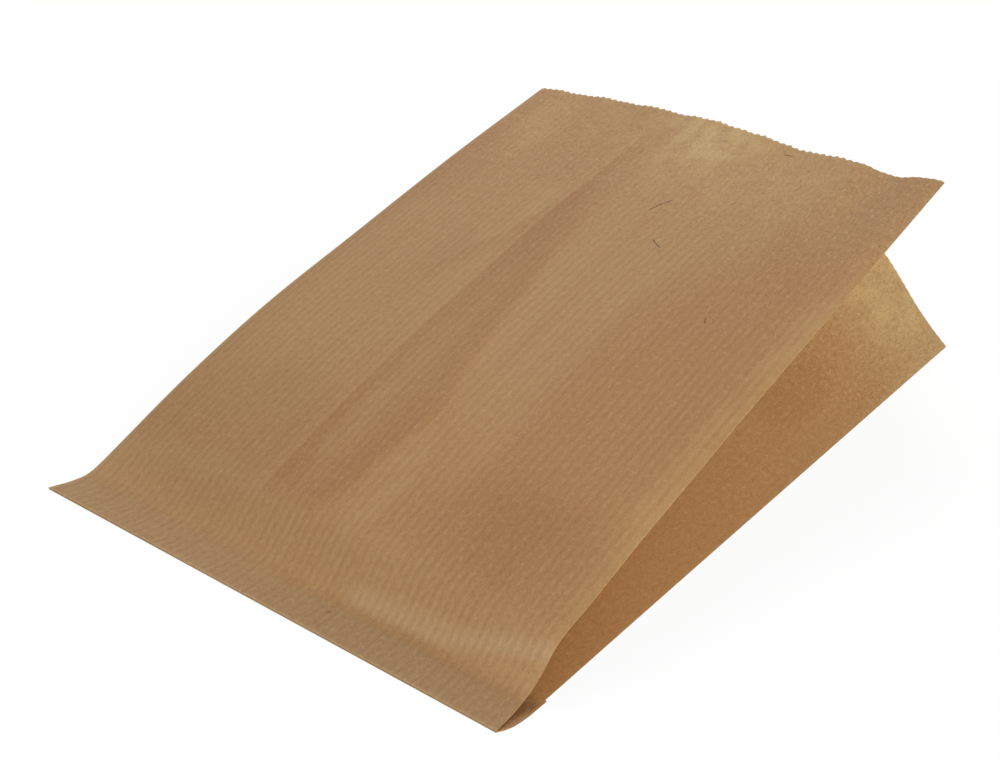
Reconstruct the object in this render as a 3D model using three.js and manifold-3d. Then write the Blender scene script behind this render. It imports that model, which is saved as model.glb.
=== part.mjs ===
// A brown paper bag with folded-in sides, lying on its back with the mouth sprung open.
// It is one sheet, folded and glued, so it is one solid. Millimetres, +X across the bag,
// +Y along it from the bottom fold to the mouth, +Z up from the table.

import * as THREE from "three";
import { mergeVertices } from "three/addons/utils/BufferGeometryUtils.js";
import Module from "manifold-3d";

const wasm = await Module();
wasm.setup();

// The sheet as it is cut and folded

const bagWidth = 140;
const bagLength = 193; // bottom fold to the tips of the zig-zag cut
const gussetDepth = 38; // how far each side folds in
const flapLength = 16; // turned under at the bottom and glued to the back
const toothPitch = 2.15;
const toothDepth = 0.5;
const seamWidth = 11; // the tube is closed by this overlap, glued along the middle of the back
const paperThickness = 0.3; // stands in for 0.07 mm kraft
const layerGap = 0.05; // air left between pressed layers
const glueOverlap = 0.12; // the glued flap sinks this far into the back, so they are one sheet
const bottomThickness = 0.4; // paper wrapped around the bottom fold, along the bag
const flapOverhang = 0.5; // the glued flap shows past the right-hand fold
const seamEdge = 0.1; // width of the step at the overlap's edges

// How it lies: each fold line from the bottom fold to the mouth, as [mm outside half the bag's
// width, share of the bag's length, mm above the pressed layers]

const frontRightFold = [
  [-1.8, -0.002, 0],
  [-1.8, 0.034, 0.7],
  [-1.7, 0.062, 2.4],
  [-1.6, 0.083, 5],
  [-1.5, 0.114, 10],
  [-0.9, 0.176, 14.7],
  [-0.6, 0.273, 21.1],
  [-0.7, 0.37, 26],
  [-0.9, 0.477, 31.3],
  [-0.5, 0.725, 44],
  [0.2, 0.941, 55.6],
];
const frontLeftFold = [
  [2.6, 0.01, 0],
  [0, 0.034, 0.1],
  [-1.6, 0.056, 0.3],
  [-1.9, 0.078, 1],
  [-1.8, 0.109, 2.4],
  [-2.1, 0.244, 9.8],
  [-2.9, 0.399, 16.6],
  [-4.4, 0.575, 22],
  [-5.8, 0.777, 27.6],
  [-7.1, 0.99, 32],
];
const backRightFold = [
  [-1.8, -0.002, 0],
  [-0.3, 0.013, 0],
  [0.4, 0.036, 0],
  [0.4, 0.078, 0],
  [0.3, 0.31, 0],
  [0.3, 1, 0],
];
const backLeftFold = [
  [2.6, 0.01, 0],
  [0, 0.034, 0],
  [-1.6, 0.056, 0],
  [-1.8, 0.155, 0],
  [-2.4, 1, 0],
];

// The front panel bows up between its folds, by [share of the bag's length, mm]
const archAlongBag = [
  [0, 0],
  [0.05, 0.6],
  [0.125, 5],
  [0.5, 4.8],
  [1, 2.4],
];
const archFullness = 0.75; // 1 is a parabola, and less has a flatter top

// Two hollows of the front panel deepen towards the mouth: a wide one, and a narrow one by the
// raised corner. Their centres and widths are shares of its width, from the right-hand fold.
const wideHollowDepth = 2.6;
const wideHollowStart = 110; // distance up the bag
const wideHollowCentre = 0.31;
const wideHollowWidth = 0.15;
const cornerHollowDepth = 2.6;
const cornerHollowStart = 150;
const cornerHollowCentre = 0.115;
const cornerHollowWidth = 0.055;

// Mesh resolution
const backColumns = 4; // on each side of the seam
const gussetColumns = 3;
const frontColumns = 24;
const flapSteps = 5; // points along each side of the flap
const rowCount = 20;
const rowBunching = 1.6; // rows crowd towards the bottom, where the bend is tight
const toothBand = 3; // the cut edge's fine rows take over this far from the mouth

// Derived sizes

const layerPitch = paperThickness + layerGap;
const backFoldLayers = 0.5; // midway between the back and the gusset's lower half
const frontFoldLayers = 2.5; // midway between the gusset's upper half and the front
const backShares = sharesAroundSeam();
const gussetShares = evenShares(gussetColumns);
const frontShares = evenShares(frontColumns);
const panelShares = [
  backShares,
  gussetShares,
  gussetShares,
  frontShares,
  gussetShares,
  gussetShares,
];
const firstSeamIndex = backColumns + 1;
const frontRight = foldCurve(frontRightFold, 1);
const frontLeft = foldCurve(frontLeftFold, -1);
const backRight = foldCurve(backRightFold, 1);
const backLeft = foldCurve(backLeftFold, -1);

// Shares of a panel's width, from 0 to 1
function evenShares(count) {
  return Array.from({ length: count + 1 }, (_, column) => column / count);
}

// The back panel's shares, with both edges of the seam's overlap
function sharesAroundSeam() {
  const seamStart = (1 - seamWidth / bagWidth) / 2;
  const stepStart = seamStart - seamEdge / bagWidth;
  const leftSide = evenShares(backColumns).map((share) => share * stepStart);
  const rightSide = leftSide.map((share) => 1 - share).reverse();
  return [...leftSide, seamStart, 1 - seamStart, ...rightSide];
}

// A smooth line through a fold's places. Side is 1 on the right and -1 on the left.
function foldCurve(places, side) {
  const points = places.map(
    ([outside, share, height]) =>
      new THREE.Vector3(side * (bagWidth / 2 + outside), share * bagLength, height),
  );
  return new THREE.CatmullRomCurve3(points, false, "centripetal");
}

// Height read from a list of [place, height], eased between the listed places
function easedHeight(profile, place) {
  const last = profile.length - 1;
  const next = profile.findIndex(([listed]) => listed > place);
  if (next === 0) {
    return profile[0][1];
  }
  if (next < 0) {
    return profile[last][1];
  }
  const [start, low] = profile[next - 1];
  const [end, high] = profile[next];
  return THREE.MathUtils.lerp(low, high, THREE.MathUtils.smoothstep(place, start, end));
}

// Middle of the back panel's paper above the table. It lies on its flap and on its mouth end,
// and is straight between them.
function backLevel(distance) {
  const onTable = paperThickness / 2;
  const overFlap = onTable + paperThickness - glueOverlap;
  const share = THREE.MathUtils.inverseLerp(flapLength, bagLength, distance);
  return THREE.MathUtils.lerp(overFlap, onTable, Math.max(0, share));
}

// How far one hollow that starts at a distance up the bag lowers the front panel
function hollowDrop(distance, start, depth, offCentre) {
  const growth = THREE.MathUtils.smoothstep(distance, start, bagLength);
  return depth * growth * Math.exp(-(offCentre ** 2));
}

// How far the front panel stands off the straight line between its folds
function frontBow(distance, share) {
  const shape = (4 * share * (1 - share)) ** archFullness;
  const arch = easedHeight(archAlongBag, distance / bagLength) * shape;
  const offWide = (share - wideHollowCentre) / wideHollowWidth;
  const offCorner = (share - cornerHollowCentre) / cornerHollowWidth;
  return (
    arch -
    hollowDrop(distance, wideHollowStart, wideHollowDepth, offWide) -
    hollowDrop(distance, cornerHollowStart, cornerHollowDepth, offCorner)
  );
}

// A fold line's point, raised onto the pressed layers it folds
function foldPoint(curve, distance, layers) {
  const point = curve.getPointAt(distance / bagLength);
  return point.setZ(point.z + backLevel(distance) + layers * layerPitch);
}

// The gusset's inner fold runs midway up. Half the rise costs it a quarter of the shortening.
function creasePoint(back, front, otherBack) {
  const halfRise = (front.z - back.z) / 2;
  const setBack = (back.y - front.y) / 4;
  const reach = Math.sqrt(gussetDepth ** 2 - halfRise ** 2 - setBack ** 2);
  const inward = otherBack.clone().sub(back).setZ(0).setLength(reach);
  return new THREE.Vector3(
    (back.x + front.x) / 2 + inward.x,
    back.y - setBack + inward.y,
    back.z + halfRise,
  );
}

// A fold is a short edge one layer pitch long, square to the line that halves its angle.
// Turn is 1 where the outline turns left and -1 where it turns right.
function foldEdge(before, fold, after, turn) {
  const into = new THREE.Vector2(fold.x - before.x, fold.z - before.z).normalize();
  const away = new THREE.Vector2(after.x - fold.x, after.z - fold.z).normalize();
  const middle = into.sub(away).normalize();
  const half = new THREE.Vector3(-middle.y, 0, middle.x).multiplyScalar(
    (turn * layerPitch) / 2,
  );
  return [fold.clone().sub(half), fold.clone().add(half)];
}

// Points across a panel, without its last one, which is the next fold's first
function panelPoints(start, end, shares) {
  return shares.slice(0, -1).map((share) => start.clone().lerp(end, share));
}

// One closed outline of the folded sheet, through the middle of the paper, seen with +Z up
// and +X right: along the back, in and out of the right gusset, back over the front panel,
// in and out of the left gusset.
function sheetOutline(distance) {
  const br = foldPoint(backRight, distance, backFoldLayers);
  const bl = foldPoint(backLeft, distance, backFoldLayers);
  const fr = foldPoint(frontRight, distance, frontFoldLayers);
  const fl = foldPoint(frontLeft, distance, frontFoldLayers);
  const cr = creasePoint(br, fr, bl);
  const cl = creasePoint(bl, fl, br);

  const [brLow, brHigh] = foldEdge(bl, br, cr, 1);
  const [crLow, crHigh] = foldEdge(br, cr, fr, -1);
  const [frLow, frHigh] = foldEdge(cr, fr, fl, 1);
  const [flHigh, flLow] = foldEdge(fr, fl, cl, 1);
  const [clHigh, clLow] = foldEdge(fl, cl, bl, -1);
  const [blHigh, blLow] = foldEdge(cl, bl, br, 1);

  const front = panelPoints(frHigh, flHigh, frontShares);
  front.forEach((point, column) => {
    point.z += frontBow(distance, frontShares[column]);
  });
  return [
    ...panelPoints(blLow, brLow, backShares),
    brLow,
    ...panelPoints(brHigh, crLow, gussetShares),
    crLow,
    ...panelPoints(crHigh, frLow, gussetShares),
    frLow,
    ...front,
    flHigh,
    ...panelPoints(flLow, clHigh, gussetShares),
    clHigh,
    ...panelPoints(clLow, blHigh, gussetShares),
    blHigh,
  ];
}

// The outline moved sideways within its own plane, with mitred corners
function offsetOutline(outline, offset) {
  const count = outline.length;
  const normals = outline.map((point, index) => {
    const next = outline[(index + 1) % count];
    return new THREE.Vector2(next.z - point.z, point.x - next.x).normalize();
  });
  return outline.map((point, index) => {
    const before = normals[(index + count - 1) % count];
    const after = normals[index];
    const scale = offset / (1 + before.dot(after));
    return new THREE.Vector3(
      point.x + (before.x + after.x) * scale,
      point.y,
      point.z + (before.y + after.y) * scale,
    );
  });
}

// Outline indices of each panel's two ends, which are the corners of the folds
function panelEnds() {
  let first = 0;
  return panelShares.map((shares) => {
    const ends = [first, first + shares.length - 1];
    first += shares.length;
    return ends;
  });
}

// The outline index of a place on a panel, between the columns that are on both sides of it
function indexAtShare(first, shares, share) {
  const next = Math.max(1, shares.findIndex((edge) => edge >= share));
  const start = shares[next - 1];
  return first + next - 1 + (share - start) / (shares[next] - start);
}

// Where the teeth sit, as outline indices. Every second place is a tip.
function toothPlaces(rootOutline) {
  return panelEnds().flatMap(([first, last], panel) => {
    const width = rootOutline[first].distanceTo(rootOutline[last]);
    const teeth = Math.round(width / toothPitch);
    return evenShares(2 * teeth).map((share, step) => ({
      index: indexAtShare(first, panelShares[panel], share),
      tip: step % 2 === 1,
    }));
  });
}

// Where a whole outline's points sit between its fold corners
function placesBetweenCorners() {
  return panelShares.flatMap((shares, panel) => shares.map((share) => 2 * panel + share));
}

function pointAlong(outline, index) {
  const whole = Math.floor(index);
  const start = outline[whole % outline.length];
  const end = outline[(whole + 1) % outline.length];
  return start.clone().lerp(end, index - whole);
}

// One face of the sheet: its fold corners at the bottom, rows of outlines, the zig-zag cut edge.
// The overlap of the seam raises its own two columns.
function sheetFace(bottom, rowDistances, offset, seamHeight, places) {
  const outlineAt = (distance) => {
    const outline = offsetOutline(sheetOutline(distance), offset);
    outline[firstSeamIndex].z += seamHeight;
    outline[firstSeamIndex + 1].z += seamHeight;
    return outline;
  };
  const bottomOutline = outlineAt(bottom);
  const roots = outlineAt(bagLength - toothDepth);
  const tips = outlineAt(bagLength);
  return {
    corners: panelEnds().flat().map((index) => bottomOutline[index]),
    rows: rowDistances.map(outlineAt),
    cutEdge: places.map(({ index, tip }) => pointAlong(tip ? tips : roots, index)),
  };
}

class TriangleList {
  constructor() {
    this.points = [];
    this.indices = [];
  }

  addPoints(points) {
    const first = this.points.length;
    this.points.push(...points);
    return first;
  }

  addTriangle(a, b, c, flipped) {
    this.indices.push(a, flipped ? c : b, flipped ? b : c);
  }

  // Two closed rows of the same length, joined by quads
  joinRows(low, high, count, flipped) {
    for (let index = 0; index < count; index += 1) {
      const next = (index + 1) % count;
      this.addTriangle(low + index, low + next, high + next, flipped);
      this.addTriangle(low + index, high + next, high + index, flipped);
    }
  }

  // A coarse closed row joined to a finer one, whose places are given along the coarse row
  joinToFineRow(coarse, coarseCount, fine, places, flipped) {
    let index = 0;
    let step = 0;
    while (index < coarseCount || step < places.length) {
      const nextPlace = places[step + 1] ?? coarseCount;
      const low = coarse + (index % coarseCount);
      const high = fine + (step % places.length);
      if (step < places.length && (nextPlace <= index + 1 || index === coarseCount)) {
        this.addTriangle(low, fine + ((step + 1) % places.length), high, flipped);
        step += 1;
      } else {
        this.addTriangle(low, coarse + ((index + 1) % coarseCount), high, flipped);
        index += 1;
      }
    }
  }

  // A flat cap over one closed row, facing along -Y
  addCap(first, outline, flipped) {
    const contour = outline.map((point) => new THREE.Vector2(point.x, point.z));
    for (const [a, b, c] of THREE.ShapeUtils.triangulateShape(contour, [])) {
      this.addTriangle(first + a, first + b, first + c, flipped);
    }
  }

  toGeometry() {
    const geometry = new THREE.BufferGeometry().setFromPoints(this.points);
    geometry.setIndex(this.indices);
    return geometry;
  }
}

// The folded tube with its closed bottom and open, zig-zag mouth
function tubeGeometry() {
  const reach = bagLength - toothBand;
  const distances = Array.from(
    { length: rowCount },
    (_, row) => reach * ((row + 1) / rowCount) ** rowBunching,
  );
  const teeth = toothPlaces(sheetOutline(bagLength - toothDepth));
  const toothIndices = teeth.map(({ index }) => index);
  const half = paperThickness / 2;
  const sheet = new TriangleList();

  const addFace = (bottom, offset, seamHeight, flipped) => {
    const face = sheetFace(bottom, distances, offset, seamHeight, teeth);
    const { corners, rows, cutEdge } = face;
    const cornerStart = sheet.addPoints(corners);
    const starts = rows.map((row) => sheet.addPoints(row));
    const edgeStart = sheet.addPoints(cutEdge);
    const count = rows[0].length;
    sheet.addCap(cornerStart, corners, !flipped);
    sheet.joinToFineRow(cornerStart, corners.length, starts[0], placesBetweenCorners(), flipped);
    for (let row = 1; row < starts.length; row += 1) {
      sheet.joinRows(starts[row - 1], starts[row], count, flipped);
    }
    sheet.joinToFineRow(starts[starts.length - 1], count, edgeStart, toothIndices, flipped);
    return edgeStart;
  };
  const outerEdge = addFace(0, half, 0, true);
  const innerEdge = addFace(bottomThickness, -half, paperThickness, false);
  sheet.joinRows(outerEdge, innerEdge, teeth.length, true);
  return sheet.toGeometry();
}

// The strip turned under the bottom, lying on the table with its own zig-zag edge
function flapGeometry() {
  const sides = evenShares(flapSteps).map((share) => {
    const place = (share * (flapLength - toothDepth)) / bagLength;
    const left = backLeft.getPointAt(place);
    const right = backRight.getPointAt(place);
    return { left, right: right.setX(right.x + flapOverhang * share) };
  });
  const { left, right } = sides.at(-1);
  const teeth = Math.round((right.x - left.x) / toothPitch);
  const cutEdge = evenShares(2 * teeth).map((share, step) => {
    const tip = step % 2 ? toothDepth : 0;
    return new THREE.Vector2(THREE.MathUtils.lerp(right.x, left.x, share), right.y + tip);
  });
  const outline = new THREE.Shape([
    ...sides.slice(0, -1).map((side) => new THREE.Vector2(side.right.x, side.right.y)),
    ...cutEdge,
    ...sides.slice(0, -1).reverse().map((side) => new THREE.Vector2(side.left.x, side.left.y)),
  ]);
  return new THREE.ExtrudeGeometry(outline, { depth: paperThickness, bevelEnabled: false });
}

function toManifold(geometry) {
  geometry.deleteAttribute("normal");
  geometry.deleteAttribute("uv");
  const welded = mergeVertices(geometry);
  return new wasm.Manifold(
    new wasm.Mesh({
      numProp: 3,
      vertProperties: new Float32Array(welded.attributes.position.array),
      triVerts: new Uint32Array(welded.index.array),
    }),
  );
}

// The whole sheet as one solid, resting on Z = 0 with its bounding box centred over the origin
function bagGeometry() {
  const { numProp, vertProperties, triVerts } = toManifold(tubeGeometry())
    .add(toManifold(flapGeometry()))
    .getMesh();
  const geometry = new THREE.BufferGeometry();
  geometry.setAttribute("position", new THREE.BufferAttribute(vertProperties, numProp));
  geometry.setIndex(new THREE.BufferAttribute(triVerts, 1));
  geometry.computeBoundingBox();
  const { min, max } = geometry.boundingBox;
  geometry.translate(-(min.x + max.x) / 2, -(min.y + max.y) / 2, -min.z);
  geometry.computeVertexNormals();
  return geometry;
}

const kraft = new THREE.MeshStandardMaterial({ color: 0xa7815c, roughness: 0.85 });
kraft.name = "brown_kraft";

const bag = new THREE.Mesh(bagGeometry(), kraft);
bag.name = "paper_bag";

const part = new THREE.Group();
part.name = "paper_bag_part";
part.add(bag);

export default part;
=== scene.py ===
"""Looks of a brown ribbed-kraft food bag, lying on its back with its mouth sprung open.

The bag is one folded and glued sheet. It is lofted here through the same fold lines as the
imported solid, with thinner paper, finer rows and the soft hollows that handling left in it.
"""

from __future__ import annotations

import logging
import math
from dataclasses import dataclass, field
from enum import Enum

import bpy
import numpy as np
from mathutils import Matrix, Vector


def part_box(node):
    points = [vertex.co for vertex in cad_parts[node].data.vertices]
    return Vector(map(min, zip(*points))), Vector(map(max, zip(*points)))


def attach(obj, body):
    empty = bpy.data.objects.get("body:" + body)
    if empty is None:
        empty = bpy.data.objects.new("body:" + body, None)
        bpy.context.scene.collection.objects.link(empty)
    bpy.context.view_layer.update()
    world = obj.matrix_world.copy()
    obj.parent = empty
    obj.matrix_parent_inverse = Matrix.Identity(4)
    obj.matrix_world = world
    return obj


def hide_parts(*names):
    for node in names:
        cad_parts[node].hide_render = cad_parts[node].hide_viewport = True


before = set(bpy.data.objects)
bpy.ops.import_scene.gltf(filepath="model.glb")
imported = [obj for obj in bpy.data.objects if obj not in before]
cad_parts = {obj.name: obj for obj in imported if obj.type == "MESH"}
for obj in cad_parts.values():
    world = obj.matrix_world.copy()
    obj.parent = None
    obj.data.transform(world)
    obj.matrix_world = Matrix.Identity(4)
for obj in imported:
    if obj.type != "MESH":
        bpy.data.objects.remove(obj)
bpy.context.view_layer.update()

MM = 0.001
NODE = "paper_bag"
BODY = "root"
SHEET_MAP = "sheet"
SHARP_ANGLE = 35.0

Point = tuple[float, float, float]
Colour = tuple[float, float, float]
Line = tuple[tuple[float, float], ...]
Socket = bpy.types.NodeSocket
Paint = Socket | Colour

log = logging.getLogger("paper_bag")


def smoothstep(place: np.ndarray | float, start: float, end: float) -> np.ndarray | float:
    """Ease from 0 at start to 1 at end."""
    share = np.clip((place - start) / (end - start), 0.0, 1.0)
    return share * share * (3.0 - 2.0 * share)


class Panel(Enum):
    """The six panels, in the order in which the outline meets them."""

    BACK = 0
    RIGHT_LOWER = 1
    RIGHT_UPPER = 2
    FRONT = 3
    LEFT_UPPER = 4
    LEFT_LOWER = 5


class Turn(Enum):
    """Which way the outline turns at a fold."""

    LEFT = 1.0
    RIGHT = -1.0


@dataclass(frozen=True)
class BagSizes:
    """The sheet as it is cut and folded, in millimetres."""

    width: float = 140.0
    length: float = 193.0
    gusset_depth: float = 38.0
    flap_length: float = 16.0
    flap_overhang: float = 0.5
    tooth_pitch: float = 2.15
    tooth_depth: float = 0.5
    seam_width: float = 11.0
    paper: float = 0.08
    layer_gap: float = 0.04
    cad_paper: float = 0.3
    cad_gap: float = 0.05

    @property
    def layer_pitch(self) -> float:
        """Height of one pressed layer."""
        return self.paper + self.layer_gap


@dataclass(frozen=True)
class FoldLine:
    """Places along one fold, from the bottom fold to the mouth.

    Each is millimetres outside half the bag's width, a share of the bag's length and
    millimetres above the pressed layers. Side is 1 on the right and -1 on the left.
    """

    side: float
    places: tuple[Point, ...]

    def points(self, sizes: BagSizes) -> np.ndarray:
        """Return the places as points, in millimetres."""
        outside, share, height = np.array(self.places).T
        sideways = self.side * (sizes.width / 2 + outside)
        return np.stack([sideways, share * sizes.length, height], axis=-1)


class FoldCurve:
    """A centripetal Catmull-Rom curve through a fold line's places."""

    STEPS = 80

    def __init__(self, line: FoldLine, sizes: BagSizes) -> None:
        """Sample the curve and measure it."""
        self.dense = self._sample(line.points(sizes))
        spans = np.linalg.norm(np.diff(self.dense, axis=0), axis=1)
        self.lengths = np.concatenate([[0.0], np.cumsum(spans)])

    @staticmethod
    def _slope(a: np.ndarray, b: np.ndarray, c: np.ndarray, ab: float, bc: float) -> np.ndarray:
        """Return the slope at the middle one of three points with uneven spacing."""
        return (b - a) / ab - (c - a) / (ab + bc) + (c - b) / bc

    def _sample(self, known: np.ndarray) -> np.ndarray:
        """Return many points along the curve.

        Args:
            known: The points that the curve goes through.

        Returns:
            STEPS points for each stretch, and the last one.
        """
        known = np.vstack([2 * known[0] - known[1], known, 2 * known[-1] - known[-2]])
        gaps = np.sqrt(np.linalg.norm(np.diff(known, axis=0), axis=1))
        steps = np.linspace(0.0, 1.0, self.STEPS, endpoint=False)[:, None]
        square, cube = steps**2, steps**3
        pieces = []
        for index in range(1, len(known) - 2):
            before, start, end, after = known[index - 1 : index + 3]
            first, middle, last = gaps[index - 1 : index + 2]
            leaving = middle * self._slope(before, start, end, first, middle)
            arriving = middle * self._slope(start, end, after, middle, last)
            pieces.append(
                (2 * cube - 3 * square + 1) * start
                + (cube - 2 * square + steps) * leaving
                + (3 * square - 2 * cube) * end
                + (cube - square) * arriving
            )
        return np.vstack([*pieces, known[-2]])

    def at(self, share: float) -> np.ndarray:
        """Return the point at a share of the curve's length."""
        wanted = share * self.lengths[-1]
        return np.array([np.interp(wanted, self.lengths, axis) for axis in self.dense.T])


@dataclass(frozen=True)
class SoftCrease:
    """A shallow ridge or valley that handling left in the front panel.

    The line's places are millimetres from the bottom fold and shares of the panel's width
    from its left-hand fold. Reaches are shares too, and a valley's height is negative.
    """

    line: Line
    height: float
    left_reach: float
    right_reach: float
    start_fade: float = 8.0
    end_fade: float = 30.0

    def lift(self, distance: float, share: np.ndarray) -> np.ndarray:
        """Return how far the crease moves the panel up.

        Args:
            distance: Millimetres from the bottom fold.
            share: Places across the panel.

        Returns:
            Millimetres for each place.
        """
        distances, shares = zip(*self.line)
        away = share - np.interp(distance, distances, shares)
        reach = np.where(away < 0, self.left_reach, self.right_reach)
        grown = smoothstep(distance, distances[0] - self.start_fade, distances[0])
        gone = smoothstep(distance, distances[-1], distances[-1] + self.end_fade)
        return self.height * grown * (1.0 - gone) * np.exp(-np.abs(away) / reach)


@dataclass(frozen=True)
class MouthHollow:
    """A hollow in the front panel that deepens towards the mouth.

    The centre and width are shares of the panel's width, from its left-hand fold.
    """

    centre: float
    width: float
    start: float
    depth: float

    def drop(self, distance: float, share: np.ndarray, length: float) -> np.ndarray:
        """Return how far the hollow lowers the panel, in millimetres."""
        growth = smoothstep(distance, self.start, length)
        return self.depth * growth * np.exp(-(((share - self.centre) / self.width) ** 2))


@dataclass(frozen=True)
class BagLie:
    """How the bag lies: fold lines from bottom fold to mouth, and how its front bows.

    Each of the lip's waves is its size, its radians across the front and its start.
    """

    front_right: FoldLine = FoldLine(1.0, (
        (-1.8, -0.002, 0), (-1.8, 0.034, 0.7), (-1.7, 0.062, 2.4), (-1.6, 0.083, 5),
        (-1.5, 0.114, 10), (-0.9, 0.176, 14.7), (-0.6, 0.273, 21.1), (-0.7, 0.37, 26),
        (-0.9, 0.477, 31.3), (-0.5, 0.725, 44), (0.2, 0.941, 55.6),
    ))
    front_left: FoldLine = FoldLine(-1.0, (
        (2.6, 0.01, 0), (0, 0.034, 0.1), (-1.6, 0.056, 0.3), (-1.9, 0.078, 1),
        (-1.8, 0.109, 2.4), (-2.1, 0.244, 9.8), (-2.9, 0.399, 16.6), (-4.4, 0.575, 22),
        (-5.8, 0.777, 27.6), (-7.1, 0.99, 32),
    ))
    back_right: FoldLine = FoldLine(1.0, (
        (-1.8, -0.002, 0), (-0.3, 0.013, 0), (0.4, 0.036, 0), (0.4, 0.078, 0),
        (0.3, 0.31, 0), (0.3, 1, 0),
    ))
    back_left: FoldLine = FoldLine(-1.0, (
        (2.6, 0.01, 0), (0, 0.034, 0), (-1.6, 0.056, 0), (-1.8, 0.155, 0), (-2.4, 1, 0),
    ))
    arch: Line = ((0, 0), (0.05, 0.6), (0.125, 5), (0.5, 4.8), (1, 2.4))
    arch_fullness: float = 0.75
    fold_reach: float = 0.06
    hollows: tuple[MouthHollow, ...] = (
        MouthHollow(0.69, 0.15, 110, 2.6),
        MouthHollow(0.885, 0.055, 150, 2.6),
    )
    lip_ripple: float = 0.16
    lip_reach: float = 14.0
    lip_waves: tuple[tuple[float, float, float], ...] = ((1.0, 44.0, 0.6), (0.6, 107.0, 2.0))
    creases: tuple[SoftCrease, ...] = (
        SoftCrease(
            (
                (27, 0.461), (38, 0.484), (52, 0.508), (67, 0.513), (80, 0.484),
                (110, 0.45), (135, 0.4),
            ),
            0.8, 0.09, 0.055,
        ),
        SoftCrease(((30, 0.345), (190, 0.35)), -0.25, 0.015, 0.03),
        SoftCrease(((108, 0.243), (130, 0.32), (147, 0.345)), 0.35, 0.05, 0.03, end_fade=8),
        SoftCrease(((60, 0.70), (100, 0.69), (150, 0.74)), 0.4, 0.06, 0.08, start_fade=30),
        SoftCrease(((60, 0.15), (190, 0.13)), -0.3, 0.05, 0.05, start_fade=20),
    )

    def arch_height(self, place: float) -> float:
        """Return the front panel's bow, eased between the arch's places.

        Args:
            place: Share of the bag's length.

        Returns:
            Millimetres above the line between the front's folds.
        """
        for (start, low), (end, high) in zip(self.arch, self.arch[1:]):
            if place <= end:
                return low + (high - low) * float(smoothstep(place, start, end))
        return self.arch[-1][1]


@dataclass
class MeshData:
    """Points, faces and sheet coordinates being gathered into one mesh."""

    points: list[np.ndarray] = field(default_factory=list)
    sheet: list[np.ndarray] = field(default_factory=list)
    faces: list[tuple[int, ...]] = field(default_factory=list)
    count: int = 0

    def add_row(self, points: np.ndarray, sheet: np.ndarray) -> int:
        """Add a row.

        Args:
            points: The row's points, in millimetres.
            sheet: Where each lies on the flat sheet.

        Returns:
            The index of the row's first point.
        """
        first = self.count
        self.points.append(points)
        self.sheet.append(sheet)
        self.count += len(points)
        return first

    def join(self, low: int, high: int, count: int, closed: bool, flipped: bool) -> None:
        """Join two rows of equal length with quads.

        Args:
            low: Index of the first row's first point.
            high: Index of the second row's first point.
            count: Points in each row.
            closed: Whether the rows are rings.
            flipped: Whether the quads face the other way.
        """
        for index in range(count if closed else count - 1):
            after = (index + 1) % count
            quad = (low + index, low + after, high + after, high + index)
            self.faces.append(quad[::-1] if flipped else quad)

    def to_object(self, name: str, shift: np.ndarray) -> bpy.types.Object:
        """Make the mesh object, in metres.

        Args:
            name: The piece's name.
            shift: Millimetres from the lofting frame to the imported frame.

        Returns:
            The new object, linked to the scene.
        """
        mesh = bpy.data.meshes.new(name)
        points = (np.vstack(self.points) + shift) * MM
        mesh.from_pydata(points.tolist(), [], self.faces)
        sheet = np.vstack(self.sheet) * MM
        layer = mesh.uv_layers.new(name=SHEET_MAP)
        corners = np.empty(len(mesh.loops), dtype=np.int64)
        mesh.loops.foreach_get("vertex_index", corners)
        layer.data.foreach_set("uv", sheet[corners].ravel())
        mesh.polygons.foreach_set("use_smooth", [True] * len(mesh.polygons))
        mesh.set_sharp_from_angle(angle=math.radians(SHARP_ANGLE))
        mesh.update()
        piece = bpy.data.objects.new(name, mesh)
        bpy.context.scene.collection.objects.link(piece)
        return piece


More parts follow.
